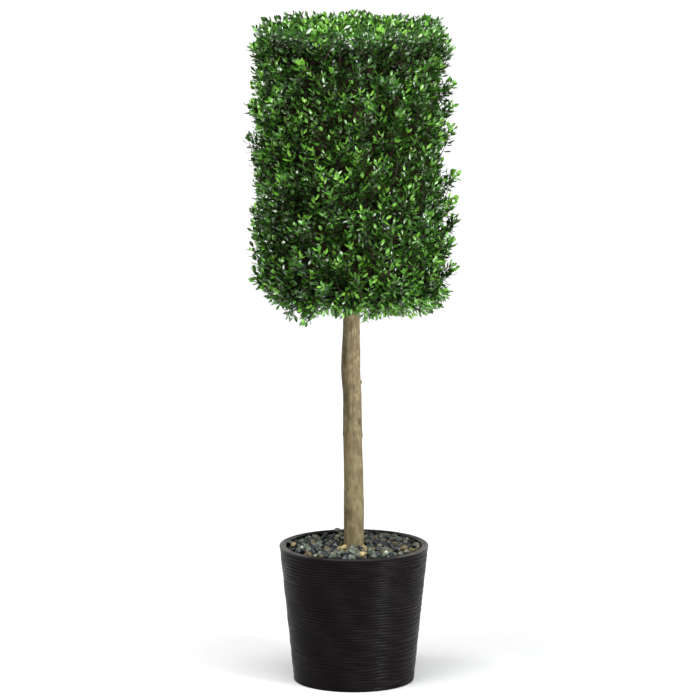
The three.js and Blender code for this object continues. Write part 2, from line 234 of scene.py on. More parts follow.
raised = add_node(tree, "ShaderNodeBump", {"Height": grain, "Strength": 0.25, "Distance": 0.0004})
shader = add_node(
    tree,
    "ShaderNodeBsdfPrincipled",
    {
        "Base Color": colour.outputs[2],
        "Roughness": sheen.outputs["Result"],
        "Normal": raised.outputs["Normal"],
        "Specular IOR Level": 0.055,
    },
)
add_node(tree, "ShaderNodeOutputMaterial", {"Surface": shader.outputs["BSDF"]})
planter.data.materials.append(resin)
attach(planter, "root")
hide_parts("pot")

# Ballast
# The plaster block cast round the pole's foot, which fills the planter under the gravel.
# It is hidden by the gravel and the planter, and its solid is kept as it is.

# Cast plaster: matt and chalky, clouded every 55 mm or so, with pits about 4 mm wide
plaster, tree = new_material("cast grey plaster")
where = add_node(tree, "ShaderNodeTexCoord").outputs["Object"]
clouds = add_node(tree, "ShaderNodeTexNoise", {"Vector": where, "Scale": 18.0, "Detail": 5.0}).outputs["Fac"]
pits = add_node(tree, "ShaderNodeTexNoise", {"Vector": where, "Scale": 260.0, "Detail": 2.0}).outputs["Fac"]
colour = add_node(
    tree, "ShaderNodeMix", {0: clouds, 6: linear("#7d7972"), 7: linear("#a09b92")}, data_type="RGBA"
)
raised = add_node(tree, "ShaderNodeBump", {"Height": pits, "Strength": 0.4, "Distance": 0.001})
shader = add_node(
    tree,
    "ShaderNodeBsdfPrincipled",
    {"Base Color": colour.outputs[2], "Roughness": 0.95, "Normal": raised.outputs["Normal"]},
)
add_node(tree, "ShaderNodeOutputMaterial", {"Surface": shader.outputs["BSDF"]})
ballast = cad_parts["ballast"]
ballast.data.materials.clear()
ballast.data.materials.append(plaster)

# Gravel
# Crushed stone of mixed kinds, washed and glued to a bed of dark grit a few millimetres below the lip.
# The stones are 12 to 26 mm long, angular with worn edges, and lie in a spiral as in the solids.

BED_RADIUS = mouth_radius - 0.0005
BED_TOP = 0.273
BED_BOTTOM = 0.2525
STONE_SHAPES = 10
STONE_CORNERS = 15
STONE_EDGE_GAP = 1.15
STONE_POLE_GAP = 0.7
# The layers of stones: how many, their level, and the turn at which their spiral starts
STONE_LAYERS = [(190, BED_TOP + 0.0008, 0.0), (225, BED_TOP + 0.0062, 1.3)]
STONE_RADIUS = 0.0106
STONE_PROPORTIONS = (1.15, 0.85, 0.62)
STONE_WEAR = 0.09
STONE_SIZES = (0.6, 1.25)
STONE_STRETCHES = ((0.9, 1.1), (0.85, 1.1), (0.85, 1.2))
STONE_TILT = 0.7
PICKED_TILT = 0.3
SPIRAL_JITTER = 0.004
LEVEL_JITTER = (-0.0015, 0.003)
GRIT_RADIUS = 0.012
GRIT_RINGS = 44
GRIT_STEPS_ROUND = 120
GRIT_BUMP = 0.0012
GRIT_LEVEL = BED_TOP - 0.002
# The grit's two crossing waves: how many round the bed, and how fast they run outwards
GRIT_WAVES = ((23, 900), (31, -700))
GOLDEN_ANGLE = math.pi * (3 - math.sqrt(5))
POLE_RADIUS_AT_GRAVEL = 0.0215
# Each kind of stone with its colours and its share of the bed
STONE_KINDS = [
    ("slate", "#14171a", "#282e32", 0.22),
    ("basalt", "#090b0b", "#151717", 0.20),
    ("grey_green", "#303831", "#535b4d", 0.24),
    ("greywacke", "#38372f", "#5f5e51", 0.19),
    ("brown", "#3a3422", "#5f563b", 0.13),
    ("tan", "#6a5d3b", "#8f8158", 0.02),
    ("quartz", "#7d7b6e", "#a3a197", 0.0),
]
# Stones that stand out on top, most of them pale, and one at the back that stands above the lip
PICKED_STONES = [
    ("tan", (-0.0265, -0.042, 0.2865), 1.25),
    ("tan", (0.0165, -0.108, 0.2865), 1.0),
    ("tan", (-0.124, -0.006, 0.2855), 0.8),
    ("brown", (0.103, -0.049, 0.2865), 1.0),
    ("grey_green", (-0.003, -0.033, 0.2845), 1.0),
    ("slate", (0.012, -0.031, 0.2835), 0.9),
    ("greywacke", (-0.018, -0.029, 0.2835), 0.9),
    ("quartz", (-0.107, -0.042, 0.2860), 0.6),
    ("quartz", (0.066, -0.089, 0.2860), 0.6),
    ("greywacke", (-0.034, 0.127, 0.2870), 1.0),
]


def convex_stone(draw):
    """One crushed stone about 2 units long: the hull of a few points, with worn edges."""
    form = bmesh.new()
    for _ in range(STONE_CORNERS):
        way = Vector([draw.gauss(0, 1) for _ in range(3)]).normalized()
        form.verts.new([along * grown for along, grown in zip(way, STONE_PROPORTIONS)])
    hull = bmesh.ops.convex_hull(form, input=form.verts)
    loose = [v for v in hull["geom_interior"] if isinstance(v, bmesh.types.BMVert)]
    bmesh.ops.delete(form, geom=loose, context="VERTS")
    bmesh.ops.dissolve_limit(form, angle_limit=0.2, verts=form.verts, edges=form.edges)
    bmesh.ops.bevel(form, geom=form.edges[:], offset=STONE_WEAR, segments=1, affect="EDGES", profile=0.5)
    bmesh.ops.recalc_face_normals(form, faces=form.faces)
    mesh = bpy.data.meshes.new("stone shape")
    form.to_mesh(mesh)
    form.free()
    return mesh


def stone_facing(tilt, draw):
    """Euler angles of a stone that lies tilted up to an angle and turned any way."""
    return draw.uniform(-tilt, tilt), draw.uniform(-tilt, tilt), draw.uniform(0, FULL_TURN)


def scatter_tree(name):
    """A tree that puts one of a collection's shapes on each point, turned and sized by its attributes."""
    tree = bpy.data.node_groups.new(name, "GeometryNodeTree")
    face = tree.interface
    face.new_socket("Points", in_out="INPUT", socket_type="NodeSocketGeometry")
    face.new_socket("Shapes", in_out="INPUT", socket_type="NodeSocketCollection")
    face.new_socket("Unit size", in_out="INPUT", socket_type="NodeSocketFloat")
    face.new_socket("Material", in_out="INPUT", socket_type="NodeSocketMaterial")
    face.new_socket("Pieces", in_out="OUTPUT", socket_type="NodeSocketGeometry")
    given = add_node(tree, "NodeGroupInput")
    shapes = add_node(
        tree,
        "GeometryNodeCollectionInfo",
        {"Collection": given.outputs["Shapes"], "Separate Children": True, "Reset Children": True},
    )
    which = add_node(tree, "GeometryNodeInputNamedAttribute", {"Name": "shape"}, data_type="INT")
    facing = add_node(tree, "GeometryNodeInputNamedAttribute", {"Name": "facing"}, data_type="FLOAT_VECTOR")
    size = add_node(tree, "GeometryNodeInputNamedAttribute", {"Name": "size"}, data_type="FLOAT_VECTOR")
    scaled = add_node(
        tree,
        "ShaderNodeVectorMath",
        {0: size.outputs["Attribute"], "Scale": given.outputs["Unit size"]},
        operation="SCALE",
    )
    turned = add_node(tree, "FunctionNodeEulerToRotation", {"Euler": facing.outputs["Attribute"]})
    placed = add_node(
        tree,
        "GeometryNodeInstanceOnPoints",
        {
            "Points": given.outputs["Points"],
            "Instance": shapes.outputs["Instances"],
            "Pick Instance": True,
            "Instance Index": which.outputs["Attribute"],
            "Rotation": turned.outputs["Rotation"],
            "Scale": scaled.outputs["Vector"],
        },
    )
    real = add_node(tree, "GeometryNodeRealizeInstances", {"Geometry": placed.outputs["Instances"]})
    finished = add_node(
        tree,
        "GeometryNodeSetMaterial",
        {"Geometry": real.outputs["Geometry"], "Material": given.outputs["Material"]},
    )
    add_node(tree, "NodeGroupOutput", {"Pieces": finished.outputs["Geometry"]})
    return tree


def shape_collection(name, meshes):
    """A collection that holds one object for each mesh, in the meshes' order."""
    collection = bpy.data.collections.new(name)
    for i, mesh in enumerate(meshes):
        collection.objects.link(bpy.data.objects.new(f"{name} {i:02d}", mesh))
    return collection


def scattered(name, tree, shapes, unit_size, material, spots):
    """One plain mesh of shapes put on spots, each spot (place, turn as Euler angles, size, shape)."""
    mesh = bpy.data.meshes.new(name + " spots")
    mesh.from_pydata([spot[0] for spot in spots], [], [])
    for label, kind, column in (("facing", "FLOAT_VECTOR", 1), ("size", "FLOAT_VECTOR", 2)):
        values = np.array([spot[column] for spot in spots], np.float32).ravel()
        mesh.attributes.new(label, kind, "POINT").data.foreach_set("vector", values)
    shape_numbers = [spot[3] for spot in spots]
    mesh.attributes.new("shape", "INT", "POINT").data.foreach_set("value", shape_numbers)
    carrier = linked_object(name + " spots", mesh)
    modifier = carrier.modifiers.new("scatter", "NODES")
    modifier.node_group = tree
    given = {"Shapes": shapes, "Unit size": unit_size, "Material": material}
    for item in tree.interface.items_tree:
        if item.name in given:
            modifier[item.identifier] = given[item.name]
    bpy.context.view_layer.update()
    evaluated = carrier.evaluated_get(bpy.context.evaluated_depsgraph_get())
    result = bpy.data.meshes.new_from_object(evaluated)
    result.name = name
    for attribute in [a for a in result.attributes if a.name in ("facing", "size", "shape")]:
        result.attributes.remove(attribute)
    bpy.data.objects.remove(carrier)
    bpy.data.meshes.remove(mesh)
    return linked_object(name, result)


draw = random.Random(17)
scatter = scatter_tree("scatter shapes on points")
stone_shapes = shape_collection("stone", [convex_stone(draw) for _ in range(STONE_SHAPES)])
kind_names = [kind[0] for kind in STONE_KINDS]
kind_shares = [kind[3] for kind in STONE_KINDS]
stone_spots = {name: [] for name in kind_names}
for kind, place, grown in PICKED_STONES:
    facing = stone_facing(PICKED_TILT, draw)
    stone_spots[kind].append((place, facing, (grown, grown, grown), draw.randrange(STONE_SHAPES)))
for count, level, first_turn in STONE_LAYERS:
    edge = BED_RADIUS - STONE_RADIUS * STONE_EDGE_GAP
    for i in range(count):
        radius = edge * math.sqrt((i + 0.5) / count) + draw.uniform(-SPIRAL_JITTER, SPIRAL_JITTER)
        if radius < POLE_RADIUS_AT_GRAVEL + STONE_RADIUS * STONE_POLE_GAP:
            continue
        radius = min(radius, edge)
        turn = first_turn + i * GOLDEN_ANGLE
        place = (radius * math.cos(turn), radius * math.sin(turn), level + draw.uniform(*LEVEL_JITTER))
        facing = stone_facing(STONE_TILT, draw)
        grown = draw.uniform(*STONE_SIZES)
        size = tuple(grown * draw.uniform(*limits) for limits in STONE_STRETCHES)
        kind = draw.choices(kind_names, kind_shares)[0]
        stone_spots[kind].append((place, facing, size, draw.randrange(STONE_SHAPES)))

# Broken stone with a washed, slightly waxy face: two colours of its own rock in patches of about 6 mm,
# with specks about 1 mm wide.
for name, dark, light, _ in STONE_KINDS:
    rock, tree = new_material(f"washed {name} gravel".replace("_", " "))
    where = add_node(tree, "ShaderNodeTexCoord").outputs["Object"]
    patches = add_node(tree, "ShaderNodeTexNoise", {"Vector": where, "Scale": 160.0, "Detail": 4.0})
    specks = add_node(tree, "ShaderNodeTexNoise", {"Vector": where, "Scale": 900.0, "Detail": 1.0})
    share = add_node(
        tree, "ShaderNodeMapRange", {"Value": patches.outputs["Fac"], "From Min": 0.35, "From Max": 0.65}
    ).outputs["Result"]
    colour = add_node(tree, "ShaderNodeMix", {0: share, 6: linear(dark), 7: linear(light)}, data_type="RGBA")
    raised = add_node(
        tree, "ShaderNodeBump", {"Height": specks.outputs["Fac"], "Strength": 0.35, "Distance": 0.0006}
    )
    shader = add_node(
        tree,
        "ShaderNodeBsdfPrincipled",
        {
            "Base Color": colour.outputs[2],
            "Roughness": 0.42,
            "Normal": raised.outputs["Normal"],
            "Specular IOR Level": 0.32,
        },
    )
    add_node(tree, "ShaderNodeOutputMaterial", {"Surface": shader.outputs["BSDF"]})
    stones = scattered(f"gravel_{name}", scatter, stone_shapes, STONE_RADIUS, rock, stone_spots[name])
    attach(stones, "root")
    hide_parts("gravel")

# The bed of glued grit, which shows as dark gaps between the stones: matt, with grains of 2 to 3 mm
bed_radii = np.linspace(GRIT_RADIUS, BED_RADIUS, GRIT_RINGS)
angles = np.linspace(0, FULL_TURN, GRIT_STEPS_ROUND, endpoint=False)
around, outward = np.meshgrid(angles, bed_radii)
waves = [np.sin(around * turns + outward * climb) for turns, climb in GRIT_WAVES]
bumps = waves[0] * waves[1] * GRIT_BUMP
top_rings = np.stack([outward * np.cos(around), outward * np.sin(around), GRIT_LEVEL + bumps], axis=-1)
foot_rings = top_rings[[0, -1]].copy()
foot_rings[:, :, 2] = BED_BOTTOM
bed = turned_mesh("gravel_bed", np.concatenate([foot_rings, top_rings[::-1]]))
grit, tree = new_material("dark glued grit")
where = add_node(tree, "ShaderNodeTexCoord").outputs["Object"]
grains = add_node(tree, "ShaderNodeTexNoise", {"Vector": where, "Scale": 420.0, "Detail": 3.0}).outputs["Fac"]
colour = add_node(
    tree, "ShaderNodeMix", {0: grains, 6: linear("#131210"), 7: linear("#3a3833")}, data_type="RGBA"
)
raised = add_node(tree, "ShaderNodeBump", {"Height": grains, "Strength": 0.6, "Distance": 0.001})
shader = add_node(
    tree,
    "ShaderNodeBsdfPrincipled",
    {"Base Color": colour.outputs[2], "Roughness": 0.8, "Normal": raised.outputs["Normal"]},
)
add_node(tree, "ShaderNodeOutputMaterial", {"Surface": shader.outputs["BSDF"]})
bed.data.materials.append(grit)
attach(bed, "root")
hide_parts("gravel")

# Trunk
# A natural pole, its foot cast into the ballast. It is slightly bent and swollen in places, and its thin
# smooth bark has long shallow wrinkles, a few closed knots and small nubs where twigs were cut off.

TRUNK_FOOT = 0.040
TRUNK_TOP = 1.290
TRUNK_SHOWN_FROM = 0.262
TRUNK_SHOWN_TO = 0.860
TRUNK_STEPS_ROUND = 120
TRUNK_STEP_UP = 0.0013
WRINKLE_HEIGHT = 0.00022
SWELL_HEIGHT = 0.00040
CRACK_HEIGHT = 0.00012
CRACK_FLAT = 0.6
BARK_INSET = 0.0004
KNOT_LIP = 0.35
KNOT_LIP_AT = 1.7
KNOT_STAIN_REACH = 1.4
TRUNK_RADIUS = 0.020
CROWN_LEAN = -0.007
# Height, sideways shift and radius where the pole changes, as in the solids
TRUNK_STATIONS = [
    (TRUNK_FOOT, 0.0, TRUNK_RADIUS * 1.08),
    (0.340, 0.0, TRUNK_RADIUS * 1.06),
    (0.430, -0.0005, TRUNK_RADIUS * 1.02),
    (0.500, -0.0020, TRUNK_RADIUS * 0.97),
    (0.590, -0.0028, TRUNK_RADIUS * 0.96),
    (0.655, -0.0064, TRUNK_RADIUS * 0.99),
    (0.745, -0.0048, TRUNK_RADIUS * 0.88),
    (TRUNK_TOP, CROWN_LEAN, TRUNK_RADIUS * 0.75),
]
# Knots as height, direction in degrees, half width, half height, rise and how dark
TRUNK_KNOTS = [
    (0.677, -122, 0.0045, 0.010, 0.0014, 0.2),
    (0.625, -5, 0.0018, 0.0018, 0.0034, 0.3),
    (0.540, -23, 0.0055, 0.010, -0.0008, 1.0),
    (0.517, -172, 0.0020, 0.003, 0.0014, 0.6),
    (0.515, -12, 0.0022, 0.004, 0.0012, 1.0),
    (0.354, -130, 0.0070, 0.018, 0.0004, 0.6),
    (0.560, 70, 0.0045, 0.009, 0.0014, 0.8),
    (0.440, 110, 0.0040, 0.008, 0.0012, 0.8),
]


def trunk_at(height):
    """Sideways shift and radius of the pole at a height, by smooth steps between the stations."""
    for (low, shift0, radius0), (high, shift1, radius1) in zip(TRUNK_STATIONS, TRUNK_STATIONS[1:]):
        if height <= high:
            break
    t = min(max((height - low) / (high - low), 0), 1)
    t = t * t * (3 - 2 * t)
    return shift0 + (shift1 - shift0) * t, radius0 + (radius1 - radius0) * t


def wrinkles(turns, heights, draw, count, rounds, climbs, power):
    """Waves of random direction, summed: long up the pole and short round it."""
    total = np.zeros_like(turns)
    for _ in range(count):
        waves_round = draw.randint(*rounds)
        climb = draw.uniform(-climbs, climbs)
        swing = waves_round ** -power
        total += swing * np.sin(waves_round * turns + climb * heights + draw.uniform(*WAVE_STARTS))
    return total / total.std()


draw = random.Random(29)
heights = np.concatenate([
    np.linspace(TRUNK_FOOT, TRUNK_SHOWN_FROM, 8)[:-1],
    np.arange(TRUNK_SHOWN_FROM, TRUNK_SHOWN_TO, TRUNK_STEP_UP),
    np.linspace(TRUNK_SHOWN_TO, TRUNK_TOP, 30)[1:],
])
angles = np.linspace(0, FULL_TURN, TRUNK_STEPS_ROUND, endpoint=False)
turns, levels = np.meshgrid(angles, heights)
shifts, radii = (np.array(v)[:, None] for v in zip(*[trunk_at(h) for h in heights]))
relief = WRINKLE_HEIGHT * wrinkles(turns, levels, draw, count=60, rounds=(6, 30), climbs=60, power=0.4)
relief += SWELL_HEIGHT * wrinkles(turns, levels, draw, count=20, rounds=(1, 4), climbs=25, power=0.6)
cracks = wrinkles(turns, levels, draw, count=80, rounds=(12, 50), climbs=900, power=0.2)
relief += CRACK_HEIGHT * np.minimum(cracks, CRACK_FLAT)
knots = np.zeros_like(turns)
for level, degrees, half_width, half_height, rise, dark in TRUNK_KNOTS:
    across = TRUNK_RADIUS * np.sin((turns - math.radians(degrees)) / 2) * 2
    away = np.sqrt((across / half_width) ** 2 + ((levels - level) / half_height) ** 2)
    lip = np.exp(-((away - KNOT_LIP_AT) ** 2) * 4)
    relief += rise * np.exp(-(away ** 2) / 2) + abs(rise) * KNOT_LIP * lip
    knots = np.maximum(knots, dark * np.exp(-((away / KNOT_STAIN_REACH) ** 4)))
reach = radii + relief - BARK_INSET
rings = np.stack([shifts + reach * np.cos(turns), reach * np.sin(turns), levels], axis=-1)
trunk = turned_mesh("trunk_bark", rings)
knot_values = np.zeros(len(trunk.data.vertices), np.float32)
knot_values[: knots.size] = knots.ravel()
trunk.data.attributes.new("knot", "FLOAT", "POINT").data.foreach_set("value", knot_values)

# Thin bark of a young hardwood: pale grey brown, streaked along the grain every 5 mm or so, with brown
# mottles about 9 mm wide, dark flecks of 3 mm and dark knots. It is painted darker in its lower half and
# down its -X side, as painted shade, with a faint green film of algae near the gravel.
bark, tree = new_material("thin grey brown bark")
where = add_node(tree, "ShaderNodeTexCoord").outputs["Object"]
drawn_out = add_node(tree, "ShaderNodeMapping", {"Vector": where, "Scale": (1.0, 1.0, 0.34)})
streaks = add_node(
    tree,
    "ShaderNodeTexNoise",
    {"Vector": drawn_out.outputs["Vector"], "Scale": 190.0, "Detail": 5.0, "Roughness": 0.6},
).outputs["Fac"]
blotched = add_node(tree, "ShaderNodeMapping", {"Vector": where, "Scale": (1.0, 1.0, 0.45)})
blotches = add_node(
    tree, "ShaderNodeTexNoise", {"Vector": blotched.outputs["Vector"], "Scale": 110.0, "Detail": 5.0}
).outputs["Fac"]
flecks = add_node(
    tree, "ShaderNodeTexNoise", {"Vector": blotched.outputs["Vector"], "Scale": 330.0, "Detail": 2.0}
).outputs["Fac"]
knot = add_node(tree, "ShaderNodeAttribute", attribute_name="knot").outputs["Fac"]
apart = add_node(tree, "ShaderNodeSeparateXYZ", {"Vector": where}).outputs
# Each colour laid over the last: what it follows, where it starts and is full, and its most there
bark_colours = [
    ("#9a8968", streaks, 0.36, 0.64, 1.0),
    ("#625237", blotches, 0.42, 0.64, 0.85),
    ("#3d3222", flecks, 0.56, 0.70, 0.6),
    # Painted shade: darker towards the foot, under the crown
    ("#5c5437", apart["Z"], 0.66, 0.44, 0.42),
    # Painted shade: darker down the -X side
    ("#544d34", apart["X"], -0.004, -0.022, 0.5),
    ("#393223", blotches, 0.38, 0.54, knot),
    ("#585c39", apart["Z"], 0.30, 0.272, 0.5),
]
colour = linear("#7d6f54")
for laid_over, followed, starts, full, most in bark_colours:
    share = add_node(
        tree, "ShaderNodeMapRange", {"Value": followed, "From Min": starts, "From Max": full, "To Max": most}
    ).outputs["Result"]
    mixed = add_node(tree, "ShaderNodeMix", {0: share, 6: colour, 7: linear(laid_over)}, data_type="RGBA")
    colour = mixed.outputs[2]
raised = add_node(tree, "ShaderNodeBump", {"Height": streaks, "Strength": 0.5, "Distance": 0.0008})
shader = add_node(
    tree,
    "ShaderNodeBsdfPrincipled",
    {
        "Base Color": colour,
        "Roughness": 0.82,
        "Normal": raised.outputs["Normal"],
        "Specular IOR Level": 0.3,
    },
)
add_node(tree, "ShaderNodeOutputMaterial", {"Surface": shader.outputs["BSDF"]})
trunk.data.materials.append(bark)
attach(trunk, "root")
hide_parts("trunk")

# Crown core
# The wire frame inside the crown is wrapped in packed brown twigs and old leaves, which show only as
# darkness between the outer leaves. It is one rough closed mass, tied round the pole.

CROWN_RADIUS = 0.204
CROWN_TOP = 1.370
CROWN_HEIGHT = 0.593
CROWN_BOTTOM = CROWN_TOP - CROWN_HEIGHT
CORE_DEPTH = 0.050
CORE_ROUND = 0.020
CORE_ROUGHNESS = 0.007
CORE_LIFT = 0.6
CORE_ROUGH_BEYOND = 0.05
CORE_ROW_SPACING = 0.013
CORE_STEPS_ROUND = 72


def crown_outline(depth, bottom_round, top_round, step):
    """Points up the crown's side view at a depth inside it, as (radius, height, outward degrees).

    The steps are measured on the crown's surface, so the corners get as many rows as their surface needs.
    """
    radius, low, high = CROWN_RADIUS - depth, CROWN_BOTTOM + depth, CROWN_TOP - depth
    side = high - low - bottom_round - top_round

    def corner(centre_height, rounding, degrees):
        turn = math.radians(degrees)
        reach = radius - rounding + rounding * math.cos(turn)
        return reach, centre_height + rounding * math.sin(turn), degrees

    stretches = [
        (radius - bottom_round, lambda t: (t * (radius - bottom_round), low, -90)),
        (
            (bottom_round + depth) * math.pi / 2,
            lambda t: corner(low + bottom_round, bottom_round, 90 * t - 90),
        ),
        (side, lambda t: (radius, low + bottom_round + t * side, 0)),
        ((top_round + depth) * math.pi / 2, lambda t: corner(high - top_round, top_round, 90 * t)),
        (radius - top_round, lambda t: ((1 - t) * (radius - top_round), high, 90)),
    ]
    whole = sum(length for length, _ in stretches)
    rows = round(whole / step)
    points = []
    for i in range(rows + 1):
        left = whole * i / rows
        for length, point_at in stretches:
            if left <= length:
                break
            left -= length
        points.append(point_at(min(left / length, 1)))
    return points


draw = random.Random(41)
core_rows = crown_outline(CORE_DEPTH, CORE_ROUND, CORE_ROUND, CORE_ROW_SPACING)[1:-1]
rings = np.zeros((len(core_rows), CORE_STEPS_ROUND, 3))
for i, (radius, height, _) in enumerate(core_rows):
    for j in range(CORE_STEPS_ROUND):
        turn = FULL_TURN * j / CORE_STEPS_ROUND
        grown = radius + draw.uniform(-CORE_ROUGHNESS, CORE_ROUGHNESS) * min(radius / CORE_ROUGH_BEYOND, 1)
        lifted = height + draw.uniform(-CORE_ROUGHNESS, CORE_ROUGHNESS) * CORE_LIFT
        rings[i, j] = (CROWN_LEAN + grown * math.cos(turn), grown * math.sin(turn), lifted)
core = turned_mesh("crown_core", rings, smooth=False)

# Dry twigs and old leaves: matt and dark brown, with greener tufts about 8 mm wide
packing, tree = new_material("packed brown twigs and old leaves")
where = add_node(tree, "ShaderNodeTexCoord").outputs["Object"]
tufts = add_node(tree, "ShaderNodeTexNoise", {"Vector": where, "Scale": 130.0, "Detail": 4.0}).outputs["Fac"]
share = add_node(tree, "ShaderNodeMapRange", {"Value": tufts, "From Min": 0.4, "From Max": 0.62})
colour = add_node(
    tree,
    "ShaderNodeMix",
    {0: share.outputs["Result"], 6: linear("#3a2b23"), 7: linear("#31321e")},
    data_type="RGBA",
)
raised = add_node(tree, "ShaderNodeBump", {"Height": tufts, "Strength": 1.0, "Distance": 0.004})
shader = add_node(
    tree,
    "ShaderNodeBsdfPrincipled",
    {
        "Base Color": colour.outputs[2],
        "Roughness": 0.9,
        "Normal": raised.outputs["Normal"],
        "Specular IOR Level": 0.1,
    },
)
add_node(tree, "ShaderNodeOutputMaterial", {"Surface": shader.outputs["BSDF"]})
core.data.materials.append(packing)
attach(core, "root")
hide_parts("crown")

# Crown twigs
# Moulded stems stand out of the core in rings, finer and closer than the sprigs of the solids, over a few
# thicker ones deeper in. They sweep upwards and stop at one cylinder's surface, which is set back a little
# here and there, except for a few strays that pass it.

SPRIG_SPACING = 0.0212
ROW_SPACING = 0.0195
CROWN_TOP_ROUND = 0.007
CROWN_BOTTOM_ROUND = 0.026
SPRIG_ROOT_DEPTH = 0.060
SPRIG_STRAIGHT = 0.45
SPRIG_POINTS = (0, 0.3, 0.55, 0.8, 1)
SPRIG_TURN_JITTER = 0.30
SPRIG_ROW_JITTER = 0.35
SPRIG_RISE = (0.024, 0.058)
SPRIG_ASIDE = 0.014
TOP_CLOSER = 0.2
TOP_FULLER = 0.2
SPRIG_SHORTFALL = (0.003, 0.020)
BOUGH_SHORTFALL = (0.030, 0.045)
SPRIG_SPIN = 0.6
DENT_DEPTH = 0.018
DENT_SHARE = 0.4
DENT_SWING = 0.5
DENT_WAVES = 32
DENT_LENGTHS = (0.030, 0.085)
# Places where the clip is set back: direction in degrees, height, half width and depth
CLIPPED_BACK = [
    (180, 1.370, 0.050, 0.012),
    (0, 1.370, 0.040, 0.007),
    (0, 1.260, 0.120, 0.009),
    (0, 1.020, 0.120, 0.006),
    (154, 0.755, 0.050, 0.052),
    (180, 0.755, 0.050, 0.060),
    (206, 0.755, 0.050, 0.052),
    (0, 0.785, 0.045, 0.026),
    (268, 0.795, 0.026, 0.018),
    (232, 0.960, 0.090, 0.008),
]
TRUNK_SPACE = 0.006
BOUGH_SPACING = 0.072
BOUGH_ROOT_DEPTH = SPRIG_ROOT_DEPTH + 0.01
BOUGH_SIDES = 5
BOUGH_RADII = [0.0026 * share for share in (1.0, 0.9, 0.75, 0.5, 0.3)]
TWIG_SIDES = 3
TWIG_RADII = [0.0011 * share for share in (1.3, 1.1, 0.95, 0.75, 0.5)]
# Strays that show against the light: direction in degrees, height of the tip, and how far it stands out
STRAYS = [
    (-4, 1.332, 0.004),
    (3, 1.308, 0.012),
    (-6, 1.241, 0.014),
    (4, 1.192, 0.014),
    (-3, 1.150, 0.014),
    (2, 1.052, 0.021),
    (-5, 1.002, 0.019),
    (4, 0.959, 0.023),
    (-7, 0.920, 0.015),
    (5, 0.858, 0.021),
    (-2, 0.812, 0.004),
    (176, 1.312, 0.008),
    (183, 1.198, 0.011),
    (178, 1.126, 0.013),
    (181, 1.088, 0.006),
    (185, 0.985, 0.006),
    (182, 0.838, 0.003),
    (60, 1.100, 0.012),
    (95, 0.960, 0.014),
    (130, 1.230, 0.012),
    (225, 1.060, 0.010),
    (262, 0.900, 0.006),
    (300, 1.200, 0.006),
    (241, 0.785, 0.000),
]
# The stems of one stray: how far each tip lies aside, above and short of the first one
STRAY_STEMS = [
    (0, 0, 0),
    (0.007, 0.004, 0.006),
    (-0.007, -0.004, 0.007),
    (0.002, -0.008, 0.010),
    (-0.003, 0.007, 0.012),
]
STRAY_LEAF_REACH = 0.009


def bent_stem(root, outward, tip, draw):
    """A stem that leaves its root outwards and bends to its tip: its points and its leaves' spin."""
    middle = root + outward * (SPRIG_STRAIGHT * (tip - root).length)
    points = [root.lerp(middle, t).lerp(middle.lerp(tip, t), t) for t in SPRIG_POINTS]
    return points, draw.gauss(0, SPRIG_SPIN)


def sprig(tip, depth, rise, draw):
    """A stem that ends at a tip near the surface, from below the nearest point of an inner cylinder."""
    ring = math.hypot(tip.x, tip.y)
    inside = min(ring, CROWN_RADIUS - depth) / max(ring, 1e-6)
    low, high = CROWN_BOTTOM + depth, CROWN_TOP - depth
    nearest = Vector((tip.x * inside, tip.y * inside, min(max(tip.z, low), high)))
    outward = (tip - nearest).normalized()
    sunk = rise * (1 - abs(outward.z))
    aside = Vector([draw.gauss(0, SPRIG_ASIDE) for _ in range(3)])
    root = Vector((nearest.x, nearest.y, max(nearest.z - sunk, low))) + aside - outward * aside.dot(outward)
    return bent_stem(root, outward, tip, draw)


def dent_field(draw):
    """A smooth function of place, 0 to 1: how deep the clipped surface dips there."""
    waves = []
    for _ in range(DENT_WAVES):
        way = Vector([draw.gauss(0, 1) for _ in range(3)]).normalized()
        waves.append((way * (FULL_TURN / draw.uniform(*DENT_LENGTHS)), draw.uniform(*WAVE_STARTS)))

    def dent(place):
        total = sum(math.sin(wave.dot(place) + start) for wave, start in waves)
        return min(max(DENT_SHARE + DENT_SWING * total / math.sqrt(DENT_WAVES), 0), 1)

    return dent


def on_surface(degrees, height):
    """The point of the crown's side at a direction and a height."""
    turn = math.radians(degrees)
    return Vector((CROWN_RADIUS * math.cos(turn), CROWN_RADIUS * math.sin(turn), height))


def set_back(place):
    """How far the clipped surface is set back at a place, besides its dents."""
    total = 0.0
    for degrees, height, half_width, depth in CLIPPED_BACK:
        away = (place - on_surface(degrees, height)).length / half_width
        total += depth * math.exp(-(away ** 2))
    return total


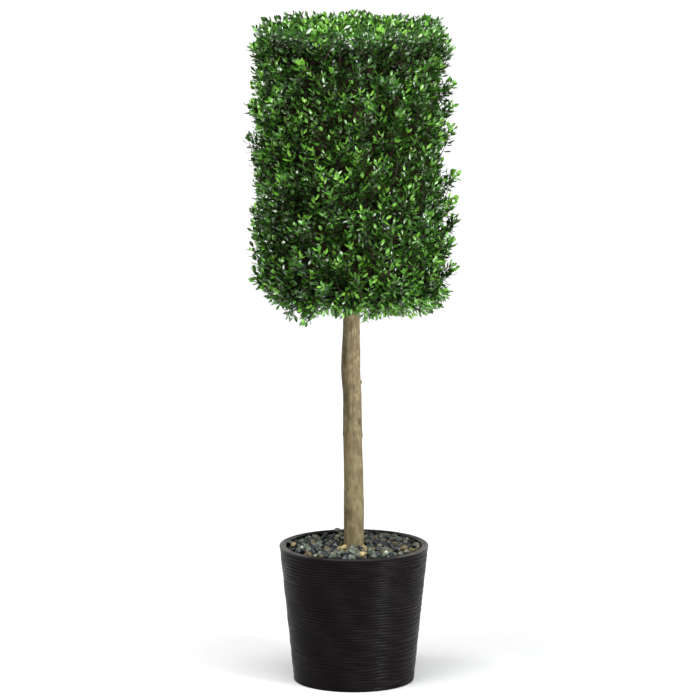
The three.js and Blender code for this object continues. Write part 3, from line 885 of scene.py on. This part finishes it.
def sprigs_in_rings(draw, depth, spacing, row_spacing, shortfall):
    """The sprigs of the whole crown about its own axis, ring above ring, ending at its surface."""
    found = []
    dent = dent_field(draw)
    outline = crown_outline(0.0, CROWN_BOTTOM_ROUND, CROWN_TOP_ROUND, row_spacing)
    for row, (ring, height, outward) in enumerate(outline):
        upward = max(math.sin(math.radians(outward)), 0)
        count = max(1, round(FULL_TURN * ring / (spacing * (1 - TOP_CLOSER * upward))))
        for i in range(count):
            along = i + (row % 2) / 2 + draw.uniform(-SPRIG_TURN_JITTER, SPRIG_TURN_JITTER)
            turn = FULL_TURN * along / count
            slide = draw.uniform(-SPRIG_ROW_JITTER, SPRIG_ROW_JITTER) * row_spacing
            place = Vector((ring * math.cos(turn), ring * math.sin(turn), height))
            inset = (draw.uniform(*shortfall) + DENT_DEPTH * dent(place)) * (1 - TOP_FULLER * upward)
            inset += set_back(place)
            lean = math.radians(outward)
            reach = min(ring - inset * math.cos(lean) - slide * math.sin(lean), CROWN_RADIUS - inset)
            level = height - inset * math.sin(lean) + slide * math.cos(lean)
            level = min(max(level, CROWN_BOTTOM + inset), CROWN_TOP - inset)
            rise = draw.uniform(*SPRIG_RISE)
            if outward < 0 and reach < TRUNK_RADIUS + TRUNK_SPACE:
                continue
            tip = Vector((reach * math.cos(turn), reach * math.sin(turn), level))
            found.append(sprig(tip, depth, rise, draw))
    return found


def tube_faces(points, radii, sides, spin):
    """Points and faces of a closed tube along points, thinner towards its end."""
    rings = []
    for i, (at, radius) in enumerate(zip(points, radii)):
        ahead = points[min(i + 1, len(points) - 1)] - points[max(i - 1, 0)]
        across = ahead.cross(Vector((0.3, 0.5, 0.8))).normalized()
        along = ahead.normalized().cross(across)
        for k in range(sides):
            turn = spin + FULL_TURN * k / sides
            rings.append(at + (across * math.cos(turn) + along * math.sin(turn)) * radius)
    faces = []
    for i in range(len(points) - 1):
        for k in range(sides):
            near, far = i * sides + k, i * sides + (k + 1) % sides
            faces.append((near, far, far + sides, near + sides))
    last = (len(points) - 1) * sides
    faces.append(tuple(range(sides))[::-1])
    faces.append(tuple(last + k for k in range(sides)))
    return rings, faces


def joined_tubes(name, tubes, material):
    """One crown piece of many tubes, moved to lean with the crown."""
    points, faces = [], []
    for rings, tube in tubes:
        first = len(points)
        points += [(p.x + CROWN_LEAN, p.y, p.z) for p in rings]
        faces += [tuple(first + v for v in face) for face in tube]
    mesh = bpy.data.meshes.new(name)
    mesh.from_pydata(points, [], faces)
    mesh.polygons.foreach_set("use_smooth", [True] * len(mesh.polygons))
    mesh.materials.append(material)
    piece = linked_object(name, mesh)
    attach(piece, "root")
    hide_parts("crown")


draw = random.Random(53)
sprigs = sprigs_in_rings(draw, SPRIG_ROOT_DEPTH, SPRIG_SPACING, ROW_SPACING, SPRIG_SHORTFALL)
boughs = sprigs_in_rings(draw, BOUGH_ROOT_DEPTH, BOUGH_SPACING, BOUGH_SPACING, BOUGH_SHORTFALL)
for degrees, height, past in STRAYS:
    for aside, above, short in STRAY_STEMS:
        turn = math.radians(degrees) + aside / CROWN_RADIUS
        reach = CROWN_RADIUS + past - STRAY_LEAF_REACH - short
        tip = Vector((reach * math.cos(turn), reach * math.sin(turn), height + above))
        sprigs.append(sprig(tip, SPRIG_ROOT_DEPTH, SPRIG_RISE[1] - past / 2, draw))

# Stem plastic, moulded and washed with brown: matt, darker in patches of about 11 mm
stem_brown, tree = new_material("brown moulded stem")
where = add_node(tree, "ShaderNodeTexCoord").outputs["Object"]
patches = add_node(tree, "ShaderNodeTexNoise", {"Vector": where, "Scale": 90.0, "Detail": 2.0}).outputs["Fac"]
brown = add_node(
    tree, "ShaderNodeMix", {0: patches, 6: linear("#261b16"), 7: linear("#3f3024")}, data_type="RGBA"
).outputs[2]
shader = add_node(
    tree, "ShaderNodeBsdfPrincipled", {"Base Color": brown, "Roughness": 0.7, "Specular IOR Level": 0.3}
)
add_node(tree, "ShaderNodeOutputMaterial", {"Surface": shader.outputs["BSDF"]})
joined_tubes("crown_boughs", [tube_faces(p, BOUGH_RADII, BOUGH_SIDES, s) for p, s in boughs], stem_brown)
joined_tubes("crown_twigs", [tube_faces(p, TWIG_RADII, TWIG_SIDES, s) for p, s in sprigs], stem_brown)

# Crown leaves
# Small plastic leaves, pressed with a fold down the middle and a slight cup, in opposite pairs up each
# stem, each pair a quarter turn from the last, with an upright pair at the tip. Their green differs
# from spray to spray: old leaves dark, most of them mid green, young tips light and yellowish. The rim's
# sprays are painted darker, as painted shade, and sprays in a few places lighter or darker, as painted
# light and shade.

LEAF_LENGTH = 0.0162
LEAF_WIDTH = 0.0071
LEAF_FOLD = 0.16
LEAF_FOLDS = (0.5, 1.5)
LEAF_CUP = 0.10
LEAF_CUPS = (-0.4, 1.6)
LEAF_WIDEST_AT = (0.52, 0.66)
LEAF_WIDTHS = (0.85, 1.15)
LEAF_SHAPES = 4
LEAF_TURN_JITTER = 0.25
SPRAY_SIZES = (0.86, 1.18)
PAIR_SIZES = (0.88, 1.12)
TIP_PAIR_SIZE = 0.9
TIP_PAIR_BACK = 0.001
PAIR_SPACING = 0.0082
PAIR_SPACINGS = (0.85, 1.15)
PAIRS_ON_A_SPRIG = 6
TILT_AT_TIP = 34
TILT_INSIDE = 66
TILT_JITTER = 12
# Each tint's name, colour and roughness, from the oldest leaves to the youngest
LEAF_TINTS = [
    ("old", "#223b13", 0.30),
    ("deep", "#2b5114", 0.29),
    ("green", "#3e6f1d", 0.29),
    ("fresh", "#578d28", 0.29),
    ("young", "#6d9e37", 0.30),
]
LEAF_DARKER = 0.72
LEAF_LIGHTER = 1.25
# Kinds of spray: share, then for each pair from the tip inwards the tint's number
SPRAY_KINDS = [
    (0.20, (4, 3, 2, 1, 1, 1)),
    (0.31, (3, 2, 1, 1, 1, 0)),
    (0.31, (2, 1, 1, 1, 0, 0)),
    (0.18, (1, 1, 0, 0, 0, 0)),
]
# Places with sprays painted lighter (+) or darker (-), as painted light and shade: direction in degrees,
# height, half width, how much
PAINTED_LIGHT_AND_SHADE = [
    (225, 0.950, 0.120, -0.7),
    (295, 0.815, 0.090, 0.7),
    (310, 0.930, 0.120, 0.3),
    (80, 1.050, 0.140, 0.4),
    (140, 1.200, 0.120, -0.5),
    (288, 1.376, 0.110, -1.2),
]
# The rim's own sprays are painted darker, as painted shade under the top's edge: their height, half height
# and how much, and the rim's width
RIM_PAINTED_SHADE = (1.358, 0.022, -1.3)
RIM_WIDTH = 0.035
# How far sprays on top, and on the rim, stray to darker or lighter kinds, and the range of chance
TOP_SPREAD = 3.0
RIM_SPREAD = 2.2
SPREAD_RANGE = (-1, 0.65)


def spray_shares(tip, draw):
    """The share of each kind of spray near a tip: they differ most from spray to spray on top, and are
    painted darker on the rim and lighter or darker at a few places, as painted light and shade.
    """
    chance = draw.uniform(*SPREAD_RANGE)
    if math.hypot(tip.x, tip.y) < CROWN_RADIUS - RIM_WIDTH:
        lighter = TOP_SPREAD * chance if tip.z > CROWN_TOP - RIM_WIDTH else 0
    else:
        # Painted shade: the rim's sprays lean to darker kinds
        middle, half_height, change = RIM_PAINTED_SHADE
        near = math.exp(-(((tip.z - middle) / half_height) ** 2))
        lighter = (change + RIM_SPREAD * chance) * near
    # Painted light and shade: sprays lean lighter or darker at the listed places
    for degrees, height, half_width, change in PAINTED_LIGHT_AND_SHADE:
        away = (tip - on_surface(degrees, height)).length / half_width
        lighter += change * math.exp(-(away ** 2))
    middle = (len(SPRAY_KINDS) - 1) / 2
    return [share * math.exp(lighter * (middle - i)) for i, (share, _) in enumerate(SPRAY_KINDS)]


def leaf_mesh(fold, cup, widest):
    """One leaf of unit length along +Z, its upper face towards +Y: obovate, folded and cupped."""
    along = (0.0, 0.36, 0.70, 1.0)
    rib = [(0.0, -cup * math.sin(math.pi * t), t) for t in along]
    edge = [(0.24, 0.56), (widest, 1.0), (0.87, 0.50)]
    half = LEAF_WIDTH / LEAF_LENGTH / 2
    left, right = (
        [(side * half * w, fold * half * w * 2 - cup * math.sin(math.pi * t), t) for t, w in edge]
        for side in (-1, 1)
    )
    points = rib + left + right
    fan = [(0, 1, 4), (1, 5, 4), (1, 2, 5), (2, 6, 5), (2, 3, 6)]
    faces = fan + [tuple(v if v < 4 else v + 3 for v in reversed(face)) for face in fan]
    mesh = bpy.data.meshes.new("leaf shape")
    mesh.from_pydata(points, [], faces)
    mesh.polygons.foreach_set("use_smooth", [True] * len(mesh.polygons))
    return mesh


def square_to(way, turn):
    """A direction square to a way, turned about it."""
    helper = Vector((1, 0, 0)) if abs(way.z) > 0.98 else Vector((0, 0, 1))
    return Matrix.Rotation(turn, 3, way) @ way.cross(helper).normalized()


def leaf_spot(at, way, tilt, turn, grown, draw):
    """Where a leaf goes that leans away from its stem: place, Euler angles, size and shape."""
    outward = square_to(way, turn)
    aim = way * math.cos(tilt) + outward * math.sin(tilt)
    face = way * math.sin(tilt) - outward * math.cos(tilt)
    facing = Matrix((face.cross(aim), face, aim)).transposed().to_euler()
    place = (at.x + CROWN_LEAN, at.y, at.z)
    size = (grown * draw.uniform(*LEAF_WIDTHS), grown, grown)
    return place, tuple(facing), size, draw.randrange(LEAF_SHAPES)


draw = random.Random(67)
leaf_meshes = []
for _ in range(LEAF_SHAPES):
    fold, cup = LEAF_FOLD * draw.uniform(*LEAF_FOLDS), LEAF_CUP * draw.uniform(*LEAF_CUPS)
    leaf_meshes.append(leaf_mesh(fold, cup, draw.uniform(*LEAF_WIDEST_AT)))
leaf_shapes = shape_collection("leaf", leaf_meshes)
leaf_spots = [[] for _ in LEAF_TINTS]
for points, spin in sprigs:
    tints = draw.choices(SPRAY_KINDS, spray_shares(points[-1], draw))[0][1]
    spans = [(b - a).length for a, b in zip(points, points[1:])]
    whole = sum(spans)
    spray_size = draw.uniform(*SPRAY_SIZES)
    for pair in range(PAIRS_ON_A_SPRIG):
        back = TIP_PAIR_BACK + pair * PAIR_SPACING * draw.uniform(*PAIR_SPACINGS)
        if back > whole:
            break
        left_over, span = back, len(spans) - 1
        while left_over > spans[span] and span > 0:
            left_over -= spans[span]
            span -= 1
        way = (points[span + 1] - points[span]).normalized()
        at = points[span + 1] - way * left_over
        share = pair / (PAIRS_ON_A_SPRIG - 1)
        tilt = TILT_AT_TIP + (TILT_INSIDE - TILT_AT_TIP) * min(share * 2, 1)
        grown = TIP_PAIR_SIZE if pair == 0 else draw.uniform(*PAIR_SIZES)
        for side in (0, math.pi):
            turn = spin + pair * math.pi / 2 + side + draw.uniform(-LEAF_TURN_JITTER, LEAF_TURN_JITTER)
            lean = math.radians(tilt + draw.uniform(-TILT_JITTER, TILT_JITTER))
            leaf_spots[tints[pair]].append(leaf_spot(at, way, lean, turn, grown * spray_size, draw))

# Soft polyethylene leaves, printed and waxed: a clear mid gloss over a colour that changes a little
# from leaf to leaf, in patches of about 22 mm.
for (name, hex_colour, roughness), spots in zip(LEAF_TINTS, leaf_spots):
    leaf_green, tree = new_material(f"{name} polyethylene leaf")
    where = add_node(tree, "ShaderNodeTexCoord").outputs["Object"]
    patches = add_node(tree, "ShaderNodeTexNoise", {"Vector": where, "Scale": 45.0, "Detail": 2.0})
    share = add_node(
        tree, "ShaderNodeMapRange", {"Value": patches.outputs["Fac"], "From Min": 0.3, "From Max": 0.7}
    ).outputs["Result"]
    base = linear(hex_colour)
    darker = [c * LEAF_DARKER for c in base[:3]] + [1.0]
    lighter = [min(c * LEAF_LIGHTER, 1.0) for c in base[:3]] + [1.0]
    green = add_node(tree, "ShaderNodeMix", {0: share, 6: darker, 7: lighter}, data_type="RGBA").outputs[2]
    shader = add_node(
        tree,
        "ShaderNodeBsdfPrincipled",
        {"Base Color": green, "Roughness": roughness, "Specular IOR Level": 0.76},
    )
    add_node(tree, "ShaderNodeOutputMaterial", {"Surface": shader.outputs["BSDF"]})
    leaves = scattered(f"leaves_{name}", scatter, leaf_shapes, LEAF_LENGTH, leaf_green, spots)
    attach(leaves, "root")
    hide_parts("crown")

# Studio
# A pale seamless floor under soft light: a broad source overhead, a soft box to the front right and
# two weaker ones to the left. The camera stands 10.5 m away, above the crown, with a long lens.

CAMERA_PLACE = (-0.008, -10.5, 2.56)
CAMERA_PITCH = 10.09
CAMERA_LENS = 267.4
CAMERA_REACH = 400
FLOOR_HALF = 150.0

floor_mesh = bpy.data.meshes.new("studio_floor")
floor_corners = [(x * FLOOR_HALF, y * FLOOR_HALF, 0) for x, y in ((-1, -1), (1, -1), (1, 1), (-1, 1))]
floor_mesh.from_pydata(floor_corners, [], [(0, 1, 2, 3)])
floor = linked_object("studio_floor", floor_mesh)

# Matt paper, a little paler far from the lamps, so that it looks evenly lit
paper, tree = new_material("matt white studio paper")
where = add_node(tree, "ShaderNodeTexCoord").outputs["Object"]
away = add_node(tree, "ShaderNodeVectorMath", {0: where}, operation="LENGTH").outputs["Value"]
share = add_node(
    tree, "ShaderNodeMapRange", {"Value": away, "From Min": 1.5, "From Max": 8.0}
).outputs["Result"]
white = add_node(
    tree, "ShaderNodeMix", {0: share, 6: linear("#b5b5b5"), 7: linear("#d2d2d2")}, data_type="RGBA"
).outputs[2]
shader = add_node(
    tree, "ShaderNodeBsdfPrincipled", {"Base Color": white, "Roughness": 0.95, "Specular IOR Level": 0.1}
)
add_node(tree, "ShaderNodeOutputMaterial", {"Surface": shader.outputs["BSDF"]})
floor_mesh.materials.append(paper)


def add_light(name, kind, place, target, power, colour, **settings):
    """A light at a place, turned to shine on a target."""
    lamp = bpy.data.lights.new(name, kind)
    lamp.energy = power
    lamp.color = colour
    for setting, value in settings.items():
        setattr(lamp, setting, value)
    holder = linked_object(name, lamp)
    holder.location = place
    holder.rotation_euler = (Vector(target) - Vector(place)).to_track_quat("-Z", "Y").to_euler()


upright = {"shape": "RECTANGLE", "size": 0.5, "size_y": 2.2}
add_light("overhead", "SUN", (0.6, -0.9, 4.0), (0, 0, 0), 5.0, (1.0, 1.0, 1.0), angle=math.radians(40))
add_light("front_right", "AREA", (3.0, -2.6, 1.2), (0, 0, 0.8), 175, (0.94, 1.0, 1.0), **upright)
add_light("upper_left", "AREA", (-1.3, -1.7, 4.4), (0, 0, 1.0), 160, (0.97, 0.98, 1.0), size=1.6)
add_light("far_left", "AREA", (-2.1, -0.55, 4.6), (0, 0, 1.0), 140, (1.0, 0.97, 0.97), size=1.2)

# The room's light: bright behind the plant, as from a white backdrop, and dim behind the camera
world = bpy.data.worlds.new("studio")
world.use_nodes = True
world.node_tree.nodes.clear()
tree = world.node_tree
where = add_node(tree, "ShaderNodeTexCoord").outputs["Generated"]
apart = add_node(tree, "ShaderNodeSeparateXYZ", {"Vector": where})
strength = add_node(
    tree,
    "ShaderNodeMapRange",
    {"Value": apart.outputs["Y"], "From Min": -0.2, "From Max": 0.9, "To Min": 0.03, "To Max": 0.22},
).outputs["Result"]
background = add_node(tree, "ShaderNodeBackground", {"Color": (1.0, 1.0, 1.0, 1.0), "Strength": strength})
add_node(tree, "ShaderNodeOutputWorld", {"Surface": background.outputs["Background"]})
bpy.context.scene.world = world
bpy.context.scene.view_settings.view_transform = "Standard"

camera_data = bpy.data.cameras.new("camera")
camera_data.lens = CAMERA_LENS
camera_data.clip_end = CAMERA_REACH
camera = linked_object("camera", camera_data)
camera.location = CAMERA_PLACE
camera.rotation_euler = (math.radians(90 - CAMERA_PITCH), 0, 0)
bpy.context.scene.camera = camera
